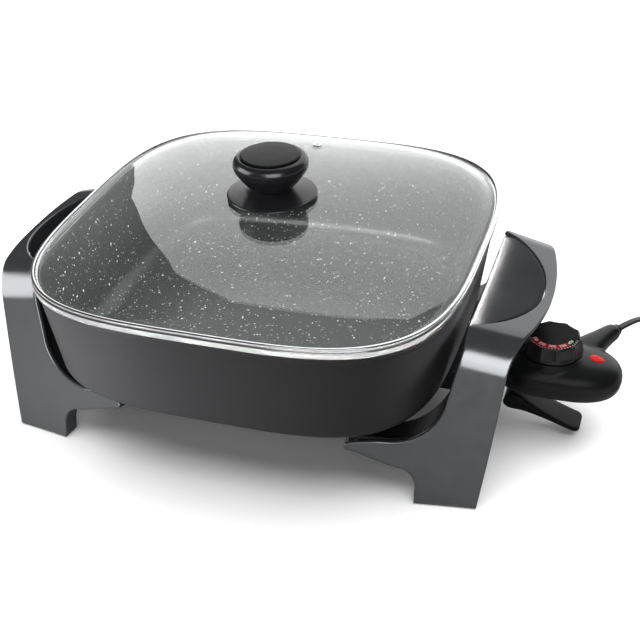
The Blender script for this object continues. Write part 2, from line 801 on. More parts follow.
@dataclass
class Lid(Assembly):
    """Domed glass in a steel channel, with a skirted mushroom knob and a vent."""

    body: ClassVar[str] = "lid"
    dome: tuple = ((5.2, 171.5), (40, 170.5), (80, 167.3), (110, 163.0), (130, 159.0), (142, 155.6),
                   (149, 152.4), (153.2, 149.6), (156.0, 147.6), (157.8, 147.0))
    under_a: float = 154.5
    vent_y: float = 108.0
    vent_z: float = 163.2
    vent_tilt: float = np.radians(-9)

    def glass(self) -> Array:
        """Closed profile of the glass: out over the dome, round its edge, and back under it.

        Returns:
            Rows of half width and height.
        """
        top = curve_through(self.dome, 60)
        slope = unit(np.gradient(top, axis=0))
        under = top + np.stack([slope[:, 1], -slope[:, 0]], 1) * S.glass_t
        under = under[under[:, 0] < self.under_a]
        under[0, 0] = self.dome[0][0]
        edge = rounded([top[-1], (158.0, 146.0), (158.0, 143.0), (155.6, 143.0), under[-1]], 0.9, 3)
        return np.vstack([top, edge[1:-1], under[::-1]])

    def steel(self) -> Array:
        """Closed section of the rim channel: bright lower band, groove, thin upper band, and the hem inside.

        Returns:
            Rows of half width and height.
        """
        h = S.lid_top_z - S.rim_z
        corners = [(-3.4, 0.0), (-0.7, 0.0), (0.1, 1.0), (0.3, 3.2), (0.0, 5.0), (-0.8, 5.5), (-0.9, 5.9),
                   (-0.2, 6.3), (-0.1, h - 0.7), (-0.7, h), (-2.0, h), (-2.5, h - 0.6), (-1.7, h - 1.6),
                   (-1.6, 2.8), (-5.0, 2.8), (-5.4, 1.4), (-5.2, 0.0), (-3.4, 0.0)]
        section = rounded(corners, 0.45, 3)[:-1]
        return section + [S.lid_a, S.rim_z]

    def knob(self) -> None:
        """Skirt, mushroom head and inset cap, each turned from its own profile."""
        skirt = rounded([(3.2, 1.02), (28, 1.02), (33.4, 0.6), (34.0, 1.4), (33.2, 2.4), (26, 3.6), (20, 4.8),
                         (16, 6.0), (14.5, 6.6), (3.2, 6.6), (3.2, 1.02)], 1.4)[:-1]
        head = curve_through([(12.5, 6.65), (14.5, 7.3), (17.5, 9.0), (20, 11.5), (22.3, 14.5), (24.8, 18.0),
                              (27, 21.5), (28, 25.0), (27.6, 28.0), (26, 30.3), (23.6, 31.3)], 70)
        head = np.vstack([(2.1, 6.65), head, (22.7, 31.2), (22.4, 30.9), (2.1, 30.9)])
        cap = rounded([(22, 30.95), (22.2, 32.1), (21.2, 32.8), (12, 33.3), (0.01, 33.5)], 1.0)
        cap = np.vstack([(0.01, 30.95), cap])
        for name, profile, finish, slot, node in (
            ("knob_skirt_shape", skirt, "knob_phenolic", "knob_plastic", "knob_skirt"),
            ("knob_head", head, "knob_phenolic", "knob_plastic", "knob_body"),
            ("knob_inset_cap", cap, "knob_inset", "knob_gloss", "knob_cap"),
        ):
            shell = Shell().grid(lathe(profile + [0, KNOB_Z]), loop_rows=profile is not cap)
            self.piece(shell, name, finish, slot, node, crease=40)

    def vent(self) -> None:
        """Rolled eyelet set square to the dome."""
        profile = rounded([(1.2, -5.0), (2.4, -5.0), (2.4, 0.3), (4.2, 0.2), (4.2, 0.6), (3.2, 1.1),
                           (1.8, 1.0), (1.2, 0.5), (1.2, -5.0)], 0.4)[:-1]
        p = lathe(profile, 64)
        y, z = tilted(p[..., 1], p[..., 2], self.vent_tilt)
        p = np.stack([p[..., 0], y + self.vent_y, z + self.vent_z], -1)
        shell = Shell().grid(p, loop_rows=True)
        self.piece(shell, "vent_eyelet", "rim_steel", "bright_steel", "vent_grommet")

    def build(self) -> None:
        """Make the glass, rim, knob and vent."""
        glass = self.glass()
        u = np.clip(glass[:, 0] / (S.lid_a - 8), 0, 1)
        p = squircle_rings(glass[:, 0], 2 + (S.rim_n - 2) * u**1.5, glass[:, 1])
        shell = Shell().grid(p, loop_rows=True)
        self.piece(shell, "lid_dome", "tempered_glass", "lid_glass", "lid_glass", crease=50)
        steel = self.steel()
        p = squircle_rings(steel[:, 0], np.full(len(steel), S.rim_n), steel[:, 1])
        shell = Shell().grid(p, loop_rows=True)
        self.piece(shell, "lid_channel", "rim_steel", "bright_steel", "lid_rim")
        self.knob()
        self.vent()
        self.dress("foot_rubber", "knob_gasket")
        self.dress("plated_steel", "knob_washer", "knob_screw")


# ---------- handles and legs ----------


class Side(Enum):
    """Which end of the pan a handle is on, as the sign of its x."""

    LEFT = -1
    RIGHT = 1


@dataclass
class Handle(Assembly):
    """One band that is handle and two legs: flat top sloping outwards, a bend, and leaning leg plates."""

    side: Side
    window: tuple[float, float, float] = (118.0, 85.0, 38.5)
    draw_top: float = 116.0
    draw_in: float = 0.2114
    foot_x: float = 139.0
    edge_r: float = 1.3
    foot_z: float = 1.0
    wall_rows: int = 39
    wall_t: float = 2.4
    wall_depth: float = 14.0

    @property
    def label(self) -> str:
        """The side's name as the pieces and solids have it."""
        return self.side.name.lower()

    @property
    def bend_y(self) -> float:
        """Where the flat top ends and the bend starts."""
        return S.leg_end_y - S.bend_r * np.cos(S.lean)

    @property
    def leg_s(self) -> float:
        """Where the bend ends and the leg starts, along the band from its middle."""
        return self.bend_y + S.bend_r * (np.pi / 2 - S.lean)

    def band(self, x: Array, s: Array, depth: Array | float) -> Array:
        """Point on the band: flat top, arc and leg in a row, sloped about Y and toed about Z.

        Along the arc the point is its centre plus the radius less the depth, and the leg runs on along the
        arc's tangent.

        Args:
            x: distance outwards from the inner edge.
            s: distance along the band from its middle; the rear half is positive.
            depth: distance under the outer surface.

        Returns:
            Points, shaped as the inputs are, by 3.
        """
        x, s, depth = np.broadcast_arrays(*(np.asarray(v, float) for v in (x, s, depth)))
        m = np.abs(s)
        turn = np.clip((m - self.bend_y) / S.bend_r, 0, np.pi / 2 - S.lean)
        run = np.maximum(m - self.leg_s, 0)
        y = np.minimum(m, self.bend_y) + (S.bend_r - depth) * np.sin(turn) + run * np.sin(S.lean)
        z = -S.bend_r + (S.bend_r - depth) * np.cos(turn) - run * np.cos(S.lean)
        z1, x1 = tilted(z, x, S.slope)
        y2, x2 = tilted(y, x1, S.toe * smoothstep(m, 0, 40))
        return np.stack([S.inner_x + x2, np.where(s < 0, -y2, y2), S.handle_z + z1], -1)

    def solve(self, s: Array, test: Callable[[Array], Array], low: float = -110, high: float = 80) -> Array:
        """Distance outwards at which the band crosses a surface, by halving the range 40 times.

        Args:
            s: places along the band.
            test: positive outside the surface and negative inside it, for points of the band.
            low: start of the range.
            high: end of the range.

        Returns:
            The distance for each place.
        """
        a, b = np.full(len(s), float(low)), np.full(len(s), float(high))
        for _ in range(40):
            mid = (a + b) / 2
            out = test(self.band(mid, s, 0.0)) > 0
            a, b = np.where(out, a, mid), np.where(out, mid, b)
        return (a + b) / 2

    def bow(self, p: Array) -> Array:
        """Distance outside the bowed outer edge, a circle in plan."""
        return np.hypot(p[..., 0] - (S.reach - S.bow_r), p[..., 1]) - S.bow_r

    def inner_edge(self, z: Array) -> Array:
        """Plan distance of the inner edge at a height: straight at the top, and drawn in below the bend."""
        return S.inner_x - self.draw_in * np.maximum(self.draw_top - z, 0.0)

    def leg_contour(self) -> tuple[Array, Array]:
        """Inner edge of a leg, from the foot up: foot, fillet, arm with its round end, crescent window.

        Returns:
            Distances outwards and along the band.
        """
        wx, wz, wr = self.window
        arm_z = wz - wr

        def arc(cx: float, cz: float, r: float, a0: float, a1: float, k: int) -> Array:
            """Points on a circle between two angles in degrees."""
            a = np.radians(np.linspace(a0, a1, k))
            return np.stack([cx + r * np.cos(a), cz + r * np.sin(a)], 1)

        above = np.linspace(81, 96, 8)[1:]
        line = np.vstack([
            np.stack([np.full(5, self.foot_x), np.linspace(1, 12, 5)], 1),
            arc(self.foot_x - 14, 13, 14, 0, 88, 14),
            np.linspace((117, 29.5), (93, 37.4), 6),
            arc(91, 40.6, 3.2, -70, -250, 14),
            np.linspace((95, 44.6), (112, arm_z), 4),
            arc(wx, wz, wr, -90, -6, 40),
            np.stack([self.inner_edge(above), above], 1),
        ])
        line[:, 1] = np.maximum.accumulate(line[:, 1] + np.arange(len(line)) * 1e-3)
        cs, ss, ct, st = np.cos(S.slope), np.sin(S.slope), np.cos(S.toe), np.sin(S.toe)
        y0, z0 = S.leg_end_y, -S.bend_r * (1 - np.sin(S.lean))
        ys, zs = np.sin(S.lean), -np.cos(S.lean)
        # X = inner + (x cs + z ss) ct + y st and Z = top - x ss + z cs, with y and z linear along the leg
        m = np.array([[cs * ct, zs * ss * ct + ys * st], [-ss, zs * cs]])
        rhs = line - [S.inner_x, S.handle_z] - [z0 * ss * ct + y0 * st, z0 * cs]
        x, run = np.linalg.solve(m, rhs.T)
        return x, self.leg_s + run

    def contours(self) -> tuple[Array, Array, Array, Array]:
        """Inner and outer edges of one half of the band, from the foot to the middle of the top, in pairs.

        Returns:
            Distances outwards and along the band of the inner edge, then of the outer.
        """
        xl, sl = self.leg_contour()
        top_s = sl[-1]
        height = self.band(xl, sl, 0.0)[:, 2]
        run = np.concatenate([[0], np.cumsum(np.diff(height) + 0.12 * np.hypot(np.diff(xl), np.diff(sl)))])
        goal = np.interp(run, (0, run[-1]), (1.0, height[-1]))
        same = sl.copy()
        for _ in range(6):
            xr = self.solve(same, self.bow)
            same += (self.band(xr, same, 0.0)[:, 2] - goal) / np.cos(S.lean)
        blend = smoothstep(goal, 55, height[-1])
        sr = same * (1 - blend) + sl * blend
        corner_s = self.solve_corner()
        s_up = np.concatenate([
            np.linspace(top_s, self.leg_s + 0.6, 8)[1:],
            np.linspace(self.leg_s, corner_s, 30),
        ])
        s_top = corner_s * np.cos(np.linspace(0, np.pi / 2, 34))[1:]
        inner = self.solve(s_up, lambda p: p[..., 0] - self.inner_edge(p[..., 2]))
        ring = self.solve(s_top, self.disc)
        s_all = np.concatenate([s_up, s_top])
        xl = np.concatenate([xl, inner, ring])
        sl = np.concatenate([sl, s_all])
        sr = np.concatenate([sr, s_all])
        return xl, sl, self.solve(sr, self.bow), sr

    def disc(self, p: Array) -> Array:
        """Distance outside the round edge of the inlay, a circle in plan."""
        return np.hypot(p[..., 0] - (S.inlay_x - S.inlay_r), p[..., 1]) - S.inlay_r

    def solve_corner(self) -> float:
        """Where the inlay's round edge meets the handle's inner edge.

        Returns:
            Its distance along the band from the middle.
        """
        s = np.linspace(40, 95, 400)
        x = self.solve(s, lambda p: p[..., 0] - S.inner_x)
        gap = self.disc(self.band(x, s, 0.0))
        return float(np.interp(0.0, gap, s))

    def edge_normals(self, x: Array, s: Array) -> Array:
        """Directions into the band at its edge points, in its own flat coordinates.

        Args:
            x: distances outwards of a closed outline.
            s: distances along the band.

        Returns:
            Unit vectors, lengthened at corners so that an offset keeps its distance.
        """
        p = np.stack([x, s], 1)
        a, b = unit(p - np.roll(p, 1, 0)), unit(np.roll(p, -1, 0) - p)
        na, nb = np.stack([a[:, 1], -a[:, 0]], 1), np.stack([b[:, 1], -b[:, 0]], 1)
        n = unit(na + nb)
        return n / np.maximum((n * nb).sum(1, keepdims=True), 0.75)

    def build_shell(self) -> None:
        """The band as one closed plate with rounded edges, and the side walls of its feet."""
        xl, sl, xr, sr = self.contours()
        xl, xr = (np.concatenate([v, v[::-1][1:]]) for v in (xl, xr))
        sl, sr = (np.concatenate([-v, v[::-1][1:]]) for v in (sl, sr))
        rows = len(xl)
        n = self.edge_normals(np.concatenate([xl, xr[::-1]]), np.concatenate([sl, sr[::-1]]))
        left, right = np.stack([xl, sl], 1), np.stack([xr, sr], 1)
        nl, nr = n[:rows], n[rows:][::-1]
        if self.band(*(left[rows // 2] + nl[rows // 2]), 0.0)[0] < self.band(*left[rows // 2], 0.0)[0]:
            nl, nr = -nl, -nr
        t = np.linspace(0, np.pi / 2, 6)
        inset, drop = self.edge_r * (1 - np.sin(np.pi / 2 - t)), self.edge_r * (1 - np.sin(t))
        tk, chamfer = S.handle_t, 0.5
        ring: list[tuple[Array, float]] = [(left + nl * d, k) for d, k in zip(inset, drop)]
        inner_l, inner_r = left + nl * self.edge_r, right + nr * self.edge_r
        ring += [(inner_l * (1 - u) + inner_r * u, 0.0) for u in np.linspace(0, 1, 18)[1:-1]]
        ring += [(right + nr * d, k) for d, k in zip(inset[::-1], drop[::-1])]
        a, b = right + nr * chamfer, left + nl * chamfer
        ring += [(right, tk - chamfer), (a, tk)]
        ring += [(a * (1 - u) + b * u, tk) for u in np.linspace(0, 1, 12)[1:-1]]
        ring += [(b, tk), (left, tk - chamfer)]
        flat = np.stack([edge for edge, _ in ring], 1)
        p = self.band(flat[..., 0], flat[..., 1], np.array([depth for _, depth in ring])[None, :])
        p[..., 2] = np.maximum(p[..., 2], self.foot_z)
        shell = Shell().grid(self.turned(p))
        for used in (slice(0, self.wall_rows), slice(rows - self.wall_rows, rows)):
            edge, inside = left[used], left[used] + nl[used] * self.wall_t
            q = np.stack([edge, edge, inside, inside], 1)
            start, end = tk - 0.6, self.wall_depth
            q = self.band(q[..., 0], q[..., 1], np.array([start, end, end, start])[None, :])
            q[..., 2] = np.maximum(q[..., 2], self.foot_z)
            shell.grid(self.turned(q))
        name = f"{self.label}_handle"
        self.piece(shell, name, "handle_paint", "handle_metallic", f"{name}_shell", crease=36)

    def turned(self, p: Array) -> Array:
        """Points put at this handle's end of the pan."""
        return p * [self.side.value, 1, 1]

    def build_inlay(self) -> None:
        """D-shaped panel: it sits just under the band's surface and rolls down at its straight edge.

        The roll's depth falls off as the cube of what is left of its run.
        """
        gap, sunk = 0.35, 0.45
        roll_depth, roll_run = 3.4, 30
        corner = self.solve_corner() - gap
        s = corner * np.sin(np.linspace(-np.pi / 2, np.pi / 2, 70))
        inner = self.solve(s, lambda p: p[..., 0] - S.inner_x) + 0.05
        outer = np.maximum(self.solve(s, self.disc) - gap, inner + 0.02)
        u = np.concatenate([np.linspace(0, 0.25, 14), np.linspace(0.25, 1, 16)[1:]])
        x = inner[:, None] + (outer - inner)[:, None] * u[None, :]
        dx = x - inner[:, None]

        def quarter(distance: Array, r: float) -> Array:
            """Drop of a quarter round of radius r at a distance from the edge."""
            return r * (1 - np.sqrt(1 - np.clip(1 - distance / r, 0, 1) ** 2))

        roll = roll_depth * np.clip(1 - dx / roll_run, 0, 1) ** 3 + quarter(dx, 1.6)
        top = self.band(x, s[:, None] + 0 * x, sunk + roll + quarter(outer[:, None] - x, 0.5))
        back = np.maximum(S.handle_t + 0.6, 1.2 + roll[:, ::-1] + 0.3)
        under = self.band(x[:, ::-1], s[:, None] + 0 * x, back)
        shell = Shell().grid(self.turned(np.concatenate([top, under], 1)))
        name = f"{self.label}_handle_inlay"
        self.piece(shell, f"{name}_panel", "handle_inlay", "handle_gloss", name, crease=50)

    def build(self) -> None:
        """Make the shell and the inlay, and dress the brackets and foot pads."""
        self.build_shell()
        self.build_inlay()
        for finish, part in (("black_phenolic", "bracket"), ("foot_rubber", "foot")):
            self.dress(finish, f"{self.label}_front_{part}", f"{self.label}_rear_{part}")


# ---------- probe ----------


@dataclass
class Probe(Assembly):
    """Pebble-shaped housing whose cord outlet tapers out of its back corner."""

    body: ClassVar[str] = "probe"
    dome: float = 2.3
    near: tuple[float, float] = (44.0, 5.0)
    far: tuple[float, float] = (42.0, 2.4)
    half_y: float = 28.0
    split_z: float = 52.0
    snout_reach: float = 57.0
    snout_power: float = 0.85
    joint: float = 0.06
    voxel: float = 0.0009
    soften_steps: int = 14
    lens_tilt: float = np.radians(13)
    lens_at: tuple[float, float, float] = (246.5, -1.0, 68.4)

    def outline(self, theta: Array, grow: Array) -> Array:
        """Plan radius: blunt superellipse towards the pan, and a rounder one outwards.

        Args:
            theta: angles in plan.
            grow: how far the outline stands outside its own size.

        Returns:
            The radius at each angle.
        """
        near, far = (squircle_r(theta, x + grow, n, self.half_y + grow) for x, n in (self.near, self.far))
        return np.where(np.cos(theta) < 0, near, far)

    def housing(self) -> Object:
        """Pebble of stacked outlines and a tapered outlet, fused by a fine voxel remesh and smoothed.

        Returns:
            The fused object, not yet split.
        """
        theta = around(160)[None, :]
        t = np.linspace(0.04, np.pi / 2, 40)[:, None]
        k, rise = np.sin(t) ** (2 / self.dome), np.cos(t) ** (2 / self.dome)
        r = k * self.outline(theta, 0.0)
        z = self.split_z + rise * (S.probe_top - self.split_z)
        up = polar(r, theta, z)
        under = curve_through([(0, 0), (-0.6, 4.0), (-2.2, 7.6), (-5.5, 10.6), (-10.5, 12.6), (-16, 13.4),
                               (-24, 13.5)], 30)[1:]
        down = polar(self.outline(theta, under[:, :1]), theta, self.split_z - under[:, 1:])
        p = np.concatenate([up, down])[::-1] + [S.house_x, 0, 0]
        shell = Shell().grid(p)
        reach = np.array([14, 22, 29, 35, 40, 45, 50, 54, 56.2, self.snout_reach])
        half = np.array([15, 13.2, 11.2, 9.6, 8.5, 7.7, 7.0, 6.5, 6.1, 5.2])
        tall = np.array([9.5, 9.2, 8.6, 8.0, 7.5, 7.1, 6.7, 6.4, 6.0, 5.2])
        rise = np.array([58.0, 59.6, 60.8, 61.6, 62.2, 62.6, 62.9, 63, 63, 63])
        a = around(48)
        side = half[:, None] * lobe(np.cos(a), self.snout_power)
        up = tall[:, None] * lobe(np.sin(a), self.snout_power)
        x, y = tilted(reach[:, None], side, S.snout_angle)
        shell.grid(np.stack([S.house_x + x, y, rise[:, None] + up], -1))
        seat = [(0.01, -14), (24.2, -14), (23.9, -9), (23.2, -3), (22.9, 0.2), (20.9, 0.2), (20.4, -0.8),
                (0.01, -0.8)]
        shell.grid(lathe(resample(np.array(seat), 60) + [0, S.probe_top], 120, (S.dial_x, 0.0)))
        obj = shell.object("housing_blank", [self.finishes["probe_gloss"]])
        remesh = obj.modifiers.new("fuse", "REMESH")
        remesh.mode = "VOXEL"
        remesh.voxel_size = self.voxel
        smooth = obj.modifiers.new("soften", "CORRECTIVE_SMOOTH")
        smooth.use_only_smooth = True
        smooth.iterations = self.soften_steps
        return obj

    def split(self, whole: Object) -> None:
        """Cut the fused pebble at its parting line into the two halves of the housing.

        Args:
            whole: the fused object, which is removed at the end.
        """
        graph = bpy.context.evaluated_depsgraph_get()
        halves = (("housing_top", False, "probe_housing_top"), ("housing_base", True, "probe_housing_bottom"))
        for name, low_side, node in halves:
            bm = bmesh.new()
            bm.from_object(whole, graph)
            z = (self.split_z + (-self.joint if low_side else self.joint)) * MM
            cut = bmesh.ops.bisect_plane(
                bm, geom=bm.verts[:] + bm.edges[:] + bm.faces[:], plane_co=(0, 0, z), plane_no=(0, 0, 1),
                clear_outer=low_side, clear_inner=not low_side,
            )
            ring = [e for e in cut["geom_cut"] if isinstance(e, bmesh.types.BMEdge)]
            bmesh.ops.contextual_create(bm, geom=ring)
            bmesh.ops.recalc_face_normals(bm, faces=bm.faces[:])
            mesh = bpy.data.meshes.new(name)
            bm.to_mesh(mesh)
            bm.free()
            mesh.materials.clear()
            mesh.materials.append(self.finishes["probe_gloss"])
            mesh.polygons.foreach_set("use_smooth", np.ones(len(mesh.polygons), bool))
            mesh.polygons.foreach_set("material_index", np.zeros(len(mesh.polygons), np.int32))
            mesh.set_sharp_from_angle(angle=np.radians(50))
            place(add_object(name, mesh), self.body, "probe_gloss", node)
        bpy.data.objects.remove(whole)

    def lens(self) -> None:
        """Low oval red lens: a turned profile, made narrower and tilted to lie on the housing's slope."""
        profile = rounded([(0.01, -1.0), (5.4, -1.0), (5.4, 0.1), (3.6, 0.6), (0.01, 0.8)], 1.0)
        p = lathe(profile, 72) * [1.0, 0.78, 1.0]
        z, x = tilted(p[..., 2], p[..., 0], self.lens_tilt)
        shell = Shell().grid(np.stack([x, p[..., 1], z], -1) + self.lens_at)
        self.piece(shell, "lens", "red_lens", "red_lens", "indicator_lens", crease=50)

    def build(self) -> None:
        """Make the housing and lens, and dress the solids on the probe."""
        self.split(self.housing())
        self.lens()
        self.dress("black_phenolic", "probe_nose")
        self.dress("probe_gloss", "strain_relief")
        self.dress("plated_steel", "housing_screws", "dial_bushing", "thermostat_frame")
        self.dress("rim_steel", "sensor_stem", "lever_pin", "contact_points")
        self.dress("brass", "contact_sleeves", "bimetal_blade", "contact_leaf")
        self.dress("lamp_amber", "indicator_lamp")


@dataclass
class Dial(Assembly):
    """Control dial: a skirt with ten flutes under a flat printed face."""

    body: ClassVar[str] = "dial"
    radius: float = 20.0
    height: float = 12.0
    flutes: int = 10
    flute_turn: float = 0.3
    flute_depth: float = 0.058
    number_r: float = 14.2
    number_size: float = 3.6
    number_from: float = -148.0
    number_step: float = 31.0
    tick_r: tuple[float, float] = (17.0, 17.8)
    tick_half: float = 0.22
    ticks: int = 21
    tick_from: float = -163.5
    tick_step: float = 7.75

    def knob(self) -> None:
        """Turned profile whose radius dips in ten smooth flutes between the skirt's foot and its top edge."""
        r, h = self.radius, self.height
        profile = rounded([(3.06, 0.5), (r + 2.2, 0.5), (r + 2.1, 2.0), (r + 0.5, h - 1.4), (r - 0.3, h),
                           (r - 1.3, h), (r - 1.5, h - 0.9), (3.06, h - 0.9), (3.06, 0.5)], 0.7)[:-1]
        dense = resample(np.vstack([profile, profile[:1]]), 160)[:-1]
        p = lathe(dense + [0, S.probe_top], 360, (0.0, 0.0))
        theta = np.arctan2(p[..., 1], p[..., 0])
        flute = np.clip(np.cos(self.flutes * (theta - self.flute_turn)) + 0.75, 0, None) ** 0.5 / 1.32
        high = smoothstep(dense[:, 1], 1.6, 3.2) * (dense[:, 0] > r - 1.2)
        scale = 1 - self.flute_depth * flute * high[:, None]
        p = np.stack([p[..., 0] * scale + S.dial_x, p[..., 1] * scale, p[..., 2]], -1)
        shell = Shell().grid(p, loop_rows=True)
        self.piece(shell, "dial_grip", "dial_black", "dial_plastic", "dial_knob", crease=40)

    def numbers(self) -> None:
        """Plain numbers and ticks of the scale, laid on the face."""
        shell = Shell()
        face_z = S.probe_top + self.height
        for k, mark in enumerate(("200", "250", "300", "350", "400")):
            curve = bpy.data.curves.new("mark", "FONT")
            curve.body, curve.size, curve.extrude = mark, self.number_size, 0.03
            curve.align_x, curve.align_y = "CENTER", "CENTER"
            text = bpy.data.objects.new("mark", curve)
            mesh = text.to_mesh()
            flat = np.empty(len(mesh.vertices) * 3)
            mesh.vertices.foreach_get("co", flat)
            flat = flat.reshape(-1, 3)
            a = np.radians(self.number_from + self.number_step * k)
            c, s = np.cos(a + np.pi / 2), np.sin(a + np.pi / 2)
            x, y = S.dial_x + self.number_r * np.cos(a), self.number_r * np.sin(a)
            spot = np.array([x, y, face_z - 0.22])
            shell.verts.append(flat @ np.array([[c, s, 0], [-s, c, 0], [0, 0, 1]]) + spot)
            shell.faces += [[v + shell.count for v in f.vertices] for f in mesh.polygons]
            shell.slots += [0] * len(mesh.polygons)
            shell.count += len(flat)
            text.to_mesh_clear()
            bpy.data.objects.remove(text)
            bpy.data.curves.remove(curve)
        (near, far), w = self.tick_r, self.tick_half
        tick = np.array([[near, -w], [far, -w], [far, w], [near, w]])
        z = face_z - np.array([0.26, 0.18])
        for k in range(self.ticks):
            a = np.radians(self.tick_from + self.tick_step * k)
            q = tick @ np.array([[np.cos(a), np.sin(a)], [-np.sin(a), np.cos(a)]])
            shell.grid(np.stack([np.column_stack([q[:, 0] + S.dial_x, q[:, 1], np.full(4, v)]) for v in z]))
        self.piece(shell, "dial_scale", "white_print", "dial_print")

    def build(self) -> None:
        """Make the grip and the scale, and dress the face and shaft."""
        self.knob()
        self.numbers()
        self.dress("dial_print", "dial_face")
        self.dress("rim_steel", "dial_shaft")


@dataclass
class Lever(Assembly):
    """Release tongue: a hub on its pin and a plate that runs out and down, with a rounded tip."""

    body: ClassVar[str] = "lever"
    half_width: float = 12.0
    tip_x: float = 235.0
    tip_run: float = 5.0

    def build(self) -> None:
        """Sweep a rounded box section along the tongue, narrowing at its tip as a circle's edge does."""
        top = curve_through([(182.2, 26.2), (184.2, 30.2), (188, 31.9), (192.5, 31.2), (197, 29.2),
                             (202, 25.9), (208, 22.3), (215, 18.6), (223, 15), (231, 11.8), (237, 9.9),
                             (240, 9.2)], 90)
        low = curve_through([(182.0, 24.6), (182.8, 21.2), (185.8, 18.6), (190.5, 17.9), (196, 17.8),
                             (204, 16.4), (214, 13.9), (223, 11.0), (231, 8.3), (237, 6.6), (240, 6.1)], 90)
        mid, half = (top + low) / 2, np.linalg.norm(top - low, axis=1) / 2
        up = unit(top - low)
        end = np.clip((mid[:, 0] - self.tip_x) / self.tip_run, 0, 1)
        width = self.half_width - self.tip_run * (1 - np.sqrt(1 - np.minimum(end, 0.995) ** 2))
        half = half * np.sqrt(1 - 0.75 * end**4)
        a = around(56)
        y = width[:, None] * lobe(np.cos(a), 0.22)
        lift = half[:, None] * lobe(np.sin(a), 0.5)
        p = np.stack([mid[:, :1] + up[:, :1] * lift, y, mid[:, 1:] + up[:, 1:] * lift], -1)
        shell = Shell().grid(p)
        self.piece(shell, "release_tongue", "lever_grey", "lever_plastic", "release_lever", crease=60)


# ---------- cord ----------


